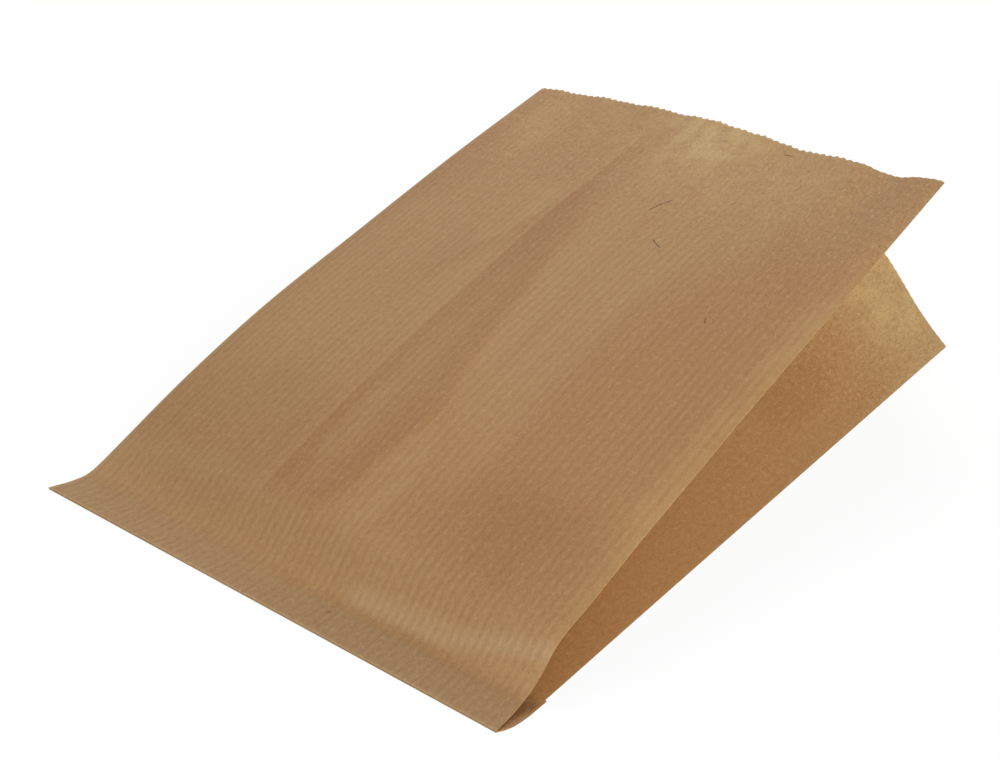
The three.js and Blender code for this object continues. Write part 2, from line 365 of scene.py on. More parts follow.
class PaperBag:
    """The folded sheet and the flap turned under its bottom.

    The cut edge's teeth, their wear and the gussets' wave are shares of the tooth depth, and
    the corner's reach is in shares of the front's width, from its right-hand fold.
    """

    ROWS = 104
    FLAP_ROWS = 8
    ROW_BUNCHING = 1.35
    BOTTOM_PAPER = 0.3
    LAYERS_TO_FRONT = 2.5
    WEAR_SEED = 5
    FRONT_TEETH = 1.4
    CORNER_TEETH = 0.5
    CORNER_REACH = (0.26, 0.12)
    GUSSET_TEETH = 0.3
    GUSSET_WAVE = 1.2
    MOST_WEAR = 0.4

    def __init__(self, sizes: BagSizes, lie: BagLie) -> None:
        """Keep the sizes and the way the bag lies."""
        self.sizes = sizes
        self.lie = lie
        self.front_right = FoldCurve(lie.front_right, sizes)
        self.front_left = FoldCurve(lie.front_left, sizes)
        self.back_right = FoldCurve(lie.back_right, sizes)
        self.back_left = FoldCurve(lie.back_left, sizes)
        self.fractions = self._tooth_fractions()

    def _tooth_fractions(self) -> list[np.ndarray]:
        """Return, for each panel, the shares of its width at every half tooth."""
        corners = self._corners(self.sizes.length - self.sizes.tooth_depth)
        fractions = []
        for start, end in corners:
            teeth = round(float(np.linalg.norm(end - start)) / self.sizes.tooth_pitch)
            fractions.append(np.linspace(0.0, 1.0, 2 * teeth + 1))
        return fractions

    def _back_level(self, distance: float) -> float:
        """Return the height of the middle of the back's paper, which lies on flap and mouth."""
        flap = self.sizes.flap_length
        share = max(0.0, (distance - flap) / (self.sizes.length - flap))
        return self.sizes.paper / 2 + self.sizes.layer_pitch * (1.0 - share)

    def _crease(self, back: np.ndarray, front: np.ndarray, other_back: np.ndarray) -> np.ndarray:
        """Return a gusset's inner fold, midway up and set back by its share of the rise.

        Args:
            back: The gusset's fold on the back panel.
            front: Its fold on the front panel.
            other_back: The fold at the back panel's other side.

        Returns:
            The inner fold's point.
        """
        half_rise = (front[2] - back[2]) / 2
        set_back = (back[1] - front[1]) / 4
        reach = math.sqrt(self.sizes.gusset_depth**2 - half_rise**2 - set_back**2)
        inward = (other_back - back) * (1.0, 1.0, 0.0)
        inward *= reach / np.linalg.norm(inward)
        middle = np.array([(back[0] + front[0]) / 2, back[1] - set_back, back[2] + half_rise])
        return middle + inward

    def _fold_edge(
        self, before: np.ndarray, fold: np.ndarray, after: np.ndarray, turn: Turn
    ) -> tuple[np.ndarray, np.ndarray]:
        """Return the short edge around a fold, square to the line that halves its angle.

        Args:
            before: The fold met before this one.
            fold: This fold.
            after: The fold met after this one.
            turn: Which way the outline turns here.

        Returns:
            The edge's two ends, in the order in which the outline meets them.
        """
        into = (fold - before)[[0, 2]]
        away = (after - fold)[[0, 2]]
        middle = into / np.linalg.norm(into) - away / np.linalg.norm(away)
        middle /= np.linalg.norm(middle)
        half = np.array([-middle[1], 0.0, middle[0]]) * turn.value * self.sizes.layer_pitch / 2
        return fold - half, fold + half

    def _corners(self, distance: float) -> list[tuple[np.ndarray, np.ndarray]]:
        """Return each panel's two ends.

        Args:
            distance: Millimetres from the bottom fold.

        Returns:
            The ends in the order in which the outline meets them.
        """
        share = distance / self.sizes.length
        level = self._back_level(distance)
        pitch = self.sizes.layer_pitch
        cad_stack = 2 * (self.sizes.cad_paper + self.sizes.cad_gap)
        lift = min(1.0, distance / self.sizes.flap_length) * (cad_stack - 2 * pitch)
        on_back = np.array([0.0, 0.0, level + pitch / 2])
        on_front = np.array([0.0, 0.0, level + self.LAYERS_TO_FRONT * pitch + lift])
        br = self.back_right.at(share) + on_back
        bl = self.back_left.at(share) + on_back
        fr = self.front_right.at(share) + on_front
        fl = self.front_left.at(share) + on_front
        cr = self._crease(br, fr, bl)
        cl = self._crease(bl, fl, br)
        folds = [br, cr, fr, fl, cl, bl]
        turns = [Turn.LEFT, Turn.RIGHT, Turn.LEFT, Turn.LEFT, Turn.RIGHT, Turn.LEFT]
        edges = [
            self._fold_edge(folds[index - 1], fold, folds[(index + 1) % len(folds)], turn)
            for index, (fold, turn) in enumerate(zip(folds, turns))
        ]
        return [(edges[index - 1][1], edges[index][0]) for index in range(len(edges))]

    def _front_bow(self, distance: float, share: np.ndarray) -> np.ndarray:
        """Return how far the front stands off the line between its folds.

        Args:
            distance: Millimetres from the bottom fold.
            share: Places across the front, 0 at its left-hand fold.

        Returns:
            Millimetres for each place.
        """
        lie, length = self.lie, self.sizes.length
        shape = np.clip(4 * share * (1 - share), 0.0, 1.0) ** lie.arch_fullness
        arch = lie.arch_height(distance / length) * shape
        hollow = sum(h.drop(distance, share, length) for h in lie.hollows)
        handled = sum(crease.lift(distance, share) for crease in lie.creases)
        waves = sum(size * np.sin(share * turns + start) for size, turns, start in lie.lip_waves)
        ripple = lie.lip_ripple * smoothstep(distance, length - lie.lip_reach, length)
        edges = smoothstep(share, 0.0, lie.fold_reach) * smoothstep(share, 1.0, 1 - lie.fold_reach)
        return arch - hollow + edges * (handled + ripple * waves)

    def _outline(self, distance: float) -> tuple[np.ndarray, np.ndarray]:
        """Return the outline through the middle of the paper.

        Args:
            distance: Millimetres from the bottom fold.

        Returns:
            Its points, and where each lies on the flat sheet.
        """
        points, across = [], []
        start_across = 0.0
        for panel, (start, end) in zip(Panel, self._corners(distance)):
            fractions = self.fractions[panel.value]
            row = start + fractions[:, None] * (end - start)
            if panel is Panel.FRONT:
                row[:, 2] += self._front_bow(distance, 1.0 - fractions)
            width = len(fractions) // 2 * self.sizes.tooth_pitch
            points.append(row)
            across.append(start_across + fractions * width)
            start_across += width
        along = np.full(sum(map(len, across)), distance)
        return np.vstack(points), np.stack([np.concatenate(across), along], axis=-1)

    @staticmethod
    def _offset(outline: np.ndarray, offset: float) -> np.ndarray:
        """Move an outline sideways in its own plane, with mitred corners.

        Args:
            outline: The outline's points.
            offset: Millimetres outwards.

        Returns:
            The moved points.
        """
        runs = np.roll(outline, -1, axis=0) - outline
        normals = np.stack([runs[:, 2], -runs[:, 0]], axis=-1)
        normals /= np.linalg.norm(normals, axis=1)[:, None]
        before = np.roll(normals, 1, axis=0)
        scale = offset / (1 + (before * normals).sum(axis=1))
        moved = outline.copy()
        moved[:, [0, 2]] += (before + normals) * scale[:, None]
        return moved

    def _face_row(self, distance: float, offset: float) -> tuple[np.ndarray, np.ndarray]:
        """Return one row of the sheet's outer or inner face, with the overlap of its seam.

        Args:
            distance: Millimetres from the bottom fold.
            offset: Millimetres outwards from the middle of the paper.

        Returns:
            The row's points, and where each lies on the flat sheet.
        """
        outline, sheet = self._outline(distance)
        face = self._offset(outline, offset)
        if offset < 0:
            back_middle = len(self.fractions[Panel.BACK.value]) // 4 * self.sizes.tooth_pitch
            in_seam = np.abs(sheet[:, 0] - back_middle) < self.sizes.seam_width / 2
            face[in_seam, 2] += self.sizes.paper
        return face, sheet

    def _cut_row(self, offset: float) -> tuple[np.ndarray, np.ndarray]:
        """Return the zig-zag row at the cut edge, its tips worn by different amounts.

        Args:
            offset: Millimetres outwards from the middle of the paper.

        Returns:
            The row's points, and where each lies on the flat sheet.
        """
        roots, root_sheet = self._face_row(self.sizes.length - self.sizes.tooth_depth, offset)
        tips, tip_sheet = self._face_row(self.sizes.length, offset)
        is_tip = np.concatenate([np.arange(len(f)) % 2 == 1 for f in self.fractions])
        wear = np.random.default_rng(self.WEAR_SEED).uniform(0.0, self.MOST_WEAR, len(is_tip))
        kept = np.where(is_tip, 1.0 - wear, 0.0) * self._tooth_shares() + self._cut_waves()
        kept = kept[:, None]
        return roots + (tips - roots) * kept, root_sheet + (tip_sheet - root_sheet) * kept

    def _tooth_shares(self) -> np.ndarray:
        """Return how deep each tooth is: less by the front's right corner and on the gussets."""
        shares = [np.full_like(fractions, self.GUSSET_TEETH) for fractions in self.fractions]
        front, back = Panel.FRONT.value, Panel.BACK.value
        worn = smoothstep(self.fractions[front], *self.CORNER_REACH)
        shares[front] = self.FRONT_TEETH - (self.FRONT_TEETH - self.CORNER_TEETH) * worn
        shares[back] = np.ones_like(self.fractions[back])
        return np.concatenate(shares)

    def _cut_waves(self) -> np.ndarray:
        """Return the slow wave of the gussets' cut edges, in tooth depths."""
        waves = [-self.GUSSET_WAVE * np.sin(2 * math.pi * f) for f in self.fractions]
        for panel in (Panel.FRONT, Panel.BACK):
            waves[panel.value][:] = 0.0
        return np.concatenate(waves)

    def _sheet_data(self) -> MeshData:
        """Loft the closed shell: two faces, the rim at the mouth and the closed bottom."""
        data = MeshData()
        reach = self.sizes.length - 2 * self.sizes.tooth_depth
        rows = reach * (np.arange(1, self.ROWS + 1) / self.ROWS) ** self.ROW_BUNCHING
        half = self.sizes.paper / 2
        edges = []
        for bottom, offset, flipped in ((0.0, half, True), (self.BOTTOM_PAPER, -half, False)):
            distances = [bottom, *rows[rows > self.BOTTOM_PAPER]]
            made = [self._face_row(distance, offset) for distance in distances]
            made.append(self._cut_row(offset))
            starts = [data.add_row(*row) for row in made]
            count = len(made[0][0])
            for low, high in zip(starts, starts[1:]):
                data.join(low, high, count, closed=True, flipped=flipped)
            edges.append((starts[0], starts[-1], count))
        (outer_bottom, outer_edge, count), (inner_bottom, inner_edge, _) = edges
        data.join(outer_edge, inner_edge, count, closed=True, flipped=True)
        self._close_bottom(data, outer_bottom, flipped=False)
        self._close_bottom(data, inner_bottom, flipped=True)
        return data

    def _close_bottom(self, data: MeshData, first: int, flipped: bool) -> None:
        """Close a bottom row with one face as thin as the pressed layers."""
        ring = tuple(range(first, first + sum(map(len, self.fractions))))
        data.faces.append(ring[::-1] if flipped else ring)

    def _flap_data(self) -> MeshData:
        """Loft the glued flap, with its own zig-zag edge."""
        data = MeshData()
        sizes = self.sizes
        fractions = self.fractions[Panel.BACK.value]
        rows = np.linspace(0.0, sizes.flap_length - sizes.tooth_depth, self.FLAP_ROWS)
        edges = []
        for level, flipped in ((0.0, True), (sizes.paper, False)):
            starts = []
            for row in [*rows, sizes.flap_length]:
                share = row / sizes.length
                left = self.back_left.at(share)
                right = self.back_right.at(share)
                right[0] += sizes.flap_overhang * row / sizes.flap_length
                points = left + fractions[:, None] * (right - left)
                points[:, 2] = level
                if row > rows[-1]:
                    roots = np.arange(len(fractions)) % 2 == 0
                    points[roots, 1] -= sizes.tooth_depth
                sheet = np.stack([fractions * (right - left)[0], -points[:, 1]], axis=-1)
                starts.append(data.add_row(points, sheet))
            for low, high in zip(starts, starts[1:]):
                data.join(low, high, len(fractions), closed=False, flipped=flipped)
            edges.append(starts)
        low, high = edges
        count = len(fractions)
        data.join(low[-1], high[-1], count, closed=False, flipped=True)
        data.join(low[0], high[0], count, closed=False, flipped=False)
        for side, flipped in ((0, False), (count - 1, True)):
            for index in range(len(low) - 1):
                quad = (low[index] + side, low[index + 1] + side,
                        high[index + 1] + side, high[index] + side)
                data.faces.append(quad[::-1] if flipped else quad)
        return data

    def build(self) -> list[bpy.types.Object]:
        """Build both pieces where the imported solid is.

        Returns:
            The folded sheet and the flap.
        """
        sheet = self._sheet_data()
        flap = self._flap_data()
        points = np.vstack([*sheet.points, *flap.points])
        low, high = (np.array(corner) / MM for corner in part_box(NODE))
        shift = (low + high - points.min(axis=0) - points.max(axis=0)) / 2
        shift[2] = -points[:, 2].min()
        pieces = [sheet.to_object("bag_sheet", shift), flap.to_object("glued_flap", shift)]
        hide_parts(NODE)
        for piece in pieces:
            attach(piece, BODY)
        return pieces


class Value:
    """A shader socket that reads like a number: each operator adds one Math node."""

    def __init__(self, graph: ShaderGraph, socket: Socket) -> None:
        """Wrap one output socket of a graph."""
        self.graph = graph
        self.socket = socket

    def __add__(self, other: Value | float) -> Value:
        """Add."""
        return self.graph.math("ADD", self, other)

    __radd__ = __add__

    def __sub__(self, other: Value | float) -> Value:
        """Subtract."""
        return self.graph.math("SUBTRACT", self, other)

    def __rsub__(self, other: Value | float) -> Value:
        """Subtract this from another."""
        return self.graph.math("SUBTRACT", other, self)

    def __mul__(self, other: Value | float) -> Value:
        """Multiply."""
        return self.graph.math("MULTIPLY", self, other)

    __rmul__ = __mul__

    def __truediv__(self, other: Value | float) -> Value:
        """Divide."""
        return self.graph.math("DIVIDE", self, other)

    def __abs__(self) -> Value:
        """Drop the sign."""
        return self.graph.math("ABSOLUTE", self)

    def sine(self) -> Value:
        """Return the sine."""
        return self.graph.math("SINE", self)

    def smooth(self, start: float, end: float) -> Value:
        """Ease from 0 at start to 1 at end, where start may be above end."""
        return self._ramp(start, end, "SMOOTHSTEP")

    def rise(self, start: float, end: float) -> Value:
        """Go from 0 at start to 1 at end in a straight line."""
        return self._ramp(start, end, "LINEAR")

    def _ramp(self, start: float, end: float, shape: str) -> Value:
        """Add a Map Range node.

        Args:
            start: Where the result is 0.
            end: Where the result is 1, above or below start.
            shape: The node's kind of interpolation.

        Returns:
            The result, which stays from 0 to 1.
        """
        rising = start < end
        made = self.graph.node(
            "ShaderNodeMapRange",
            {"interpolation_type": shape, "clamp": True},
            {
                "Value": self,
                "From Min": min(start, end),
                "From Max": max(start, end),
                "To Min": 0.0 if rising else 1.0,
                "To Max": 1.0 if rising else 0.0,
            },
        )
        return Value(self.graph, made.outputs["Result"])


class ShaderGraph:
    """A material's node tree, built by expressions."""

    NOISE_ROUGHNESS = 0.55

    def __init__(self, name: str) -> None:
        """Make an empty material with an output."""
        self.material = bpy.data.materials.new(name)
        self.material.use_nodes = True
        self.tree = self.material.node_tree
        self.tree.nodes.clear()
        self.output = self.node("ShaderNodeOutputMaterial")

    def node(
        self, kind: str, settings: dict | None = None, inputs: dict | None = None
    ) -> bpy.types.Node:
        """Add a node.

        Args:
            kind: The node's type.
            settings: Its properties, set before its sockets.
            inputs: Socket names or numbers, with a number, colour, Value or socket for each.

        Returns:
            The new node.
        """
        made = self.tree.nodes.new(kind)
        for name, setting in (settings or {}).items():
            setattr(made, name, setting)
        for name, given in (inputs or {}).items():
            socket = made.inputs[name]
            if isinstance(given, Value):
                given = given.socket
            if isinstance(given, Socket):
                self.tree.links.new(given, socket)
            else:
                socket.default_value = given
        return made

    def math(self, operation: str, *operands: Value | float) -> Value:
        """Add a Math node and return its result."""
        made = self.node("ShaderNodeMath", {"operation": operation}, dict(enumerate(operands)))
        return Value(self, made.outputs[0])

    def sheet_place(self) -> tuple[Value, Value]:
        """Return the distances across and along the flat sheet, in millimetres."""
        place = self.node("ShaderNodeUVMap", {"uv_map": SHEET_MAP})
        parts = self.node("ShaderNodeSeparateXYZ", inputs={0: place.outputs["UV"]})
        return Value(self, parts.outputs["X"]) / MM, Value(self, parts.outputs["Y"]) / MM

    def noise(self, across: Value, along: Value, detail: float = 2.0, salt: float = 0.0) -> Value:
        """Return soft noise.

        Args:
            across: Distance across, in cells.
            along: Distance along, in cells.
            detail: How many finer octaves it has.
            salt: What sets it apart from another noise.

        Returns:
            The noise, from 0 to 1.
        """
        place = self.node("ShaderNodeCombineXYZ", inputs={"X": across, "Y": along, "Z": salt})
        made = self.node(
            "ShaderNodeTexNoise",
            inputs={
                "Vector": place.outputs[0],
                "Scale": 1.0,
                "Detail": detail,
                "Roughness": self.NOISE_ROUGHNESS,
            },
        )
        return Value(self, made.outputs["Fac"])

    @staticmethod
    def follow(along: Value, line: Line) -> Value:
        """Return the place on a line of straight runs, each end a distance and a place."""
        runs = [
            along.rise(start, end) * (after - before)
            for (start, before), (end, after) in zip(line, line[1:])
        ]
        return sum(runs, line[0][1])

    def blend(self, share: Value | float, under: Paint, over: Paint) -> Socket:
        """Mix one colour over another.

        Args:
            share: How much of the upper colour shows.
            under: The lower colour.
            over: The upper colour.

        Returns:
            The mixed colour's socket.
        """
        made = self.node(
            "ShaderNodeMix",
            {"data_type": "RGBA", "clamp_factor": True},
            {0: share, 6: self._rgba(under), 7: self._rgba(over)},
        )
        return made.outputs[2]

    @staticmethod
    def _rgba(colour: Paint) -> Socket | tuple:
        """Give a plain colour its alpha."""
        return (*colour, 1.0) if isinstance(colour, tuple) else colour


def from_srgb(red: int, green: int, blue: int) -> Colour:
    """Return the linear colour of an 8-bit sRGB one."""
    shares = [level / 255 for level in (red, green, blue)]
    return tuple(s / 12.92 if s <= 0.04045 else ((s + 0.055) / 1.055) ** 2.4 for s in shares)


@dataclass(frozen=True)
class Fade:
    """Where something is absent and where it is full, by distance or by a noise's level."""

    none: float
    full: float
    straight: bool = False

    def at(self, place: Value) -> Value:
        """Return 0 where it is absent and 1 where it is full."""
        ramp = place.rise if self.straight else place.smooth
        return ramp(self.none, self.full)

    def before(self, end: float) -> Fade:
        """Return the same fade, counted back from an end."""
        return Fade(end - self.none, end - self.full)


@dataclass(frozen=True)
class Tone:
    """A colour laid over the paper: how much of it shows at most, and where it fades."""

    colour: Colour
    share: float
    fades: tuple[Fade, ...] = ()

    def lay(
        self, graph: ShaderGraph, under: Paint, mask: Value | float, place: Value | None = None
    ) -> Socket:
        """Lay the tone over a colour.

        Args:
            graph: The material being made.
            under: The colour so far.
            mask: Where the tone may show.
            place: What its fades go by.

        Returns:
            The new colour's socket.
        """
        for fade in self.fades:
            mask = mask * fade.at(place)
        return graph.blend(mask * self.share, under, self.colour)


@dataclass(frozen=True)
class Swing:
    """How a noise varies a strength: the least of it, and what full noise adds."""

    least: float
    added: float

    def by(self, noise: Value) -> Value:
        """Return the varied strength."""
        return self.least + noise * self.added


@dataclass(frozen=True)
class Grain:
    """A noise on the sheet: its cells in millimetres, its detail and its salt."""

    across: float
    along: float
    detail: float
    salt: float


class SheetLayout:
    """Places, zones and noises on the flat sheet, as a material's graph reads them."""

    FOLD_EASE = 0.05

    def __init__(self, graph: ShaderGraph, bag: PaperBag) -> None:
        """Lay out the panels.

        Args:
            graph: The material being made.
            bag: The bag, whose panel widths place everything on the sheet.
        """
        self.graph = graph
        self.across, self.along = graph.sheet_place()
        widths = [len(f) // 2 * bag.sizes.tooth_pitch for f in bag.fractions]
        self.starts = [sum(widths[:index]) for index in range(len(widths) + 1)]
        self.length = bag.sizes.length
        self.from_left = self.starts[Panel.LEFT_UPPER.value] - self.across
        self.on_front = self._between(Panel.FRONT, Panel.FRONT)
        self.on_gusset = self._between(Panel.RIGHT_LOWER, Panel.RIGHT_UPPER) + self._between(
            Panel.LEFT_UPPER, Panel.LEFT_LOWER
        )
        self._noises: dict[Grain, Value] = {}

    def _between(self, first: Panel, last: Panel) -> Value:
        """Return 1 from the first panel to the last and 0 outside them."""
        start, end = self.starts[first.value], self.starts[last.value + 1]
        inside = self.across.smooth(start - self.FOLD_EASE, start + self.FOLD_EASE)
        return inside * self.across.smooth(end + self.FOLD_EASE, end - self.FOLD_EASE)

    def noise(self, grain: Grain) -> Value:
        """Return one of the sheet's noises, made when it is first asked for."""
        if grain not in self._noises:
            across, along = self.across / grain.across, self.along / grain.along
            self._noises[grain] = self.graph.noise(across, along, grain.detail, grain.salt)
        return self._noises[grain]

    def patches(self, wanted: tuple[Patch, ...]) -> Value:
        """Add up the masks of some patches."""
        return sum(patch.mask(self) for patch in wanted)


@dataclass(frozen=True)
class Mark:
    """A bark fibre, speck or wrinkle on the sheet.

    Places are millimetres from a panel's start and from the bottom fold. The angle is in
    degrees, from the line across the sheet.
    """

    across: float
    along: float
    length: float
    angle: float
    bend: float = 0.0
    width: float = 0.22
    core: float = 0.3
    taper: float = 3.0
    panel: Panel = Panel.FRONT

    def mask(self, sheet: SheetLayout) -> Value:
        """Return 1 on the mark and 0 off it.

        Args:
            sheet: The sheet's layout.

        Returns:
            The mark's mask.
        """
        turn = math.radians(self.angle)
        right = sheet.across - (sheet.starts[self.panel.value] + self.across)
        ahead = sheet.along - self.along
        down_mark = right * math.cos(turn) + ahead * math.sin(turn)
        off_mark = ahead * math.cos(turn) - right * math.sin(turn)
        curved = abs(off_mark - down_mark * down_mark * self.bend)
        ends = abs(down_mark).smooth(self.length / 2, self.length / 2 - self.taper * self.width)
        return curved.smooth(self.width, self.width * self.core) * ends


@dataclass(frozen=True)
class Streak:
    """A soft-sided stripe on the sheet.

    The line's places are pairs of a distance along the stripe and a distance beside it, in
    millimetres. The reaches go below and above the line.
    """

    line: Line
    low_reach: float
    high_reach: float
    strength: float
    start_fade: float = 8.0
    end_fade: float = 14.0

    def mask(self, lengthwise: Value, sideways: Value) -> Value:
        """Return the streak's strength on its line and less beside it.

        Args:
            lengthwise: Distance along the stripe.
            sideways: Distance beside it.

        Returns:
            The streak's mask.
        """
        off_line = sideways - ShaderGraph.follow(lengthwise, self.line)
        sides = off_line.smooth(-self.low_reach, 0.0) * off_line.smooth(self.high_reach, 0.0)
        start, end = self.line[0][0], self.line[-1][0]
        grown = lengthwise.smooth(start - self.start_fade, start)
        gone = lengthwise.smooth(end + self.end_fade, end)
        return sides * grown * gone * self.strength


@dataclass(frozen=True)
class Patch:
    """A soft oval patch on one panel.

    Its centre is in millimetres from the panel's start and from the bottom fold.
    """

    across: float
    along: float
    half_width: float
    half_length: float
    strength: float
    core: float = 0.15
    panel: Panel = Panel.FRONT

    def mask(self, sheet: SheetLayout) -> Value:
        """Return the patch's strength in its middle, fading to 0 at its rim.

        Args:
            sheet: The sheet's layout.

        Returns:
            The patch's mask.
        """
        start = sheet.starts[self.panel.value]
        right = (sheet.across - (start + self.across)) / self.half_width
        ahead = (sheet.along - self.along) / self.half_length
        return (right * right + ahead * ahead).smooth(1.0, self.core) * self.strength


@dataclass(frozen=True)
class RibbedKraft:
    """Uncoated ribbed brown kraft, in millimetres, with painted light and shade in its colour.

    The texture's shares are for the plain sheet, the mouth and the gussets, and the rib's
    losses for the mouth and the gussets. Heights are of ribs, fine grain, grain and flock.
    """

    paper: Colour = from_srgb(174, 133, 85)
    warm: Colour = from_srgb(160, 112, 64)
    dark: Colour = from_srgb(112, 74, 43)
    pale: Colour = from_srgb(206, 177, 118)
    grey: Colour = from_srgb(146, 122, 92)
    highlight_beige: Colour = from_srgb(186, 154, 116)
    amber: Colour = from_srgb(182, 129, 76)
    straw: Colour = from_srgb(170, 148, 106)
    bark: Colour = from_srgb(66, 42, 26)
    fine: Grain = Grain(0.5, 0.8, 3.0, 1.0)
    grain: Grain = Grain(1.0, 2.0, 4.0, 7.0)
    flock: Grain = Grain(6.0, 8.0, 3.0, 5.0)
    streaks: Grain = Grain(7.0, 90.0, 3.0, 12.0)
    uneven: Grain = Grain(1.9, 26.0, 2.0, 17.0)
    speckle: Grain = Grain(0.8, 0.8, 1.0, 20.0)
    scuff: Grain = Grain(2.0, 5.0, 3.0, 31.0)
    faint_streaks: Tone = Tone(warm, 0.22, (Fade(0.4, 0.7),))
    # Gusset tones: painted shade, warmer and amber deeper in under the front and dark at the
    # bottom, and a painted straw glow of light through the paper by the mouth.
    gusset_shade_and_glow: tuple[Tone, ...] = (
        Tone(warm, 0.25, (Fade(185, 150),)),
        Tone(amber, 1.0, (Fade(130, 30, straight=True),)),
        Tone(straw, 0.34, (Fade(155, 186),)),
        Tone(dark, 0.62, (Fade(16, 11),)),
    )
    # Painted light shining through the paper, in pale clouds.
    painted_glow_clouds: Tone = Tone(pale, 0.55)
    # Painted highlight on the front's steep rise above the bottom strip.
    bend: Tone = Tone(highlight_beige, 0.2, (Fade(9, 13), Fade(32, 22)))
    # The bottom strip greyer, and painted shade in the crease where the front rises off it.
    strip_grey_and_crease_shade: tuple[Tone, ...] = (
        Tone(grey, 0.32, (Fade(10.5, 7.5),)),
        Tone(dark, 0.08, (Fade(7.5, 9.5), Fade(12.5, 10.5))),
    )
    troughs: Tone = Tone(dark, 0.16)
    grain_tones: tuple[tuple[Grain, Tone], ...] = (
        (grain, Tone(dark, 0.2, (Fade(0.5, 0.75),))),
        (grain, Tone(pale, 0.22, (Fade(0.5, 0.25),))),
        (fine, Tone(dark, 0.2, (Fade(0.5, 0.72),))),
        (fine, Tone(pale, 0.16, (Fade(0.5, 0.28),))),
    )
    specks: Tone = Tone(bark, 0.4, (Fade(0.77, 0.83),))
    fibre: Tone = Tone(bark, 0.85)
    worn: Tone = Tone(pale, 0.35)
    flock_levels: Fade = Fade(0.38, 0.62)
    cloud_levels: Fade = Fade(0.35, 0.65)
    scuff_levels: Fade = Fade(0.3, 0.7)
    red_shade_swing: Swing = Swing(0.75, 0.5)
    cloud_swing: Swing = Swing(0.45, 0.55)
    light_through_swing: Swing = Swing(0.2, 0.8)
    knee_highlight_swing: Swing = Swing(0.6, 0.8)
    rib_swing: Swing = Swing(0.45, 1.1)
    wear_swing: Swing = Swing(0.35, 0.65)
    mouth_zone: Fade = Fade(75, 10)
    mouth_wear: Fade = Fade(1.2, 0.2)
    bottom_wear: Fade = Fade(1.0, 0.1)
    fold_wear: Fade = Fade(1.6, 0.1)
    fold_wear_strength: float = 0.35
    rib_pitch: float = 2.15
    rib_wander: float = 0.2
    rib_loss: tuple[float, float] = (0.6, 0.7)
    texture: tuple[float, float, float] = (0.8, 0.7, 0.2)
    seam_ease: float = 0.08
    heights: tuple[float, float, float, float] = (0.35, 0.3, 0.2, 0.4)
    bump: float = 0.5
    roughness: float = 0.62
    fine_roughness: float = 0.16
    flock_gloss: float = 0.06
    specular: float = 0.35
    # Reddish bands and patches: partly the paper's own tone, partly painted shade of the front's
    # valleys and hollows.
    red_shade_streaks: tuple[Streak, ...] = (
        Streak(((27, 46.6), (190, 47.4)), 1.2, 11, 0.5),
        Streak(
            ((27, 62.5), (38, 65.5), (52, 68.8), (67, 69.2), (80, 65.8), (110, 61), (128, 56.5)),
            18, 3.6, 0.52, start_fade=6, end_fade=36,
        ),
        Streak(((108, 33), (118, 37), (130, 42.5), (147, 46.7)), 0.9, 8, 0.34),
        Streak(((30, 2), (190, 2)), 2, 6, 0.15),
    )
    red_shade_patches: tuple[Patch, ...] = (
        Patch(23, 92, 30, 78, 0.55),
        Patch(10, 170, 24, 42, 0.34),
        Patch(130, 152, 12, 26, 0.3),
        Patch(100, 172, 18, 34, 0.16),
        Patch(74, 20, 100, 62, 0.22),
        Patch(17, 140, 10, 18, 0.45, panel=Panel.RIGHT_LOWER),
    )
    # Painted light: pale patches where light shines through the paper at the mouth, and painted
    # highlights on the lip, by the right-hand fold and on lit spots of the front.
    painted_light_patches: tuple[Patch, ...] = (
        Patch(70.5, 192, 20, 24, 0.85),
        Patch(60, 184, 60, 30, 0.35),
        Patch(121, 176, 9, 22, 0.35),
        Patch(98, 138, 9, 20, 0.25),
        Patch(62, 42, 8, 20, 0.3),
        Patch(82, 52, 4, 18, 0.3),
        Patch(2.5, 95, 5, 80, 0.3),
        Patch(23, 190, 20, 26, 0.85, panel=Panel.RIGHT_LOWER),
    )
    # Painted shade on the front where it turns from the lamps.
    painted_shade_patches: tuple[Patch, ...] = (
        Patch(18, 38, 46, 24, 0.15),
        Patch(108, 38, 30, 30, 0.09),
        Patch(16, 2, 76, 13, 0.22),
    )
    # Painted highlight along the steep rise at the front's bottom right.
    knee_highlight: Streak = Streak(((86, 13), (112, 14.5), (135, 22)), 3.5, 5, 0.5)
    fibres: tuple[Mark, ...] = (
        Mark(64.2, 155, 7.4, 114, 0.02),
        Mark(54.9, 140.8, 4.7, 27, 0.07),
        Mark(25.8, 121.9, 2.5, 61),
        Mark(46.7, 189.3, 3, 165, 0.05),
        Mark(65.5, 186.5, 1.8, 150, 0.1, 0.18),
        Mark(47.5, 165, 2.2, 115, 0.04, 0.15),
        Mark(99.3, 131.1, 0.9, 30, 0, 0.35),
        Mark(53.8, 6.9, 1.8, 150, 0, 0.4),
        Mark(71.7, 111, 0.9, 60, 0, 0.26),
        Mark(41, 106, 0.8, 40, 0, 0.24),
        Mark(113, 70.7, 1.2, 20, 0, 0.26),
        Mark(132, 52, 0.9, 80, 0, 0.28),
        Mark(41, 88, 5.2, 38, 0.05, panel=Panel.BACK),
        Mark(102, 131, 3.6, 152, 0.04, panel=Panel.BACK),
        Mark(16, 74, 3, 66, 0.08, panel=Panel.LEFT_LOWER),
    )

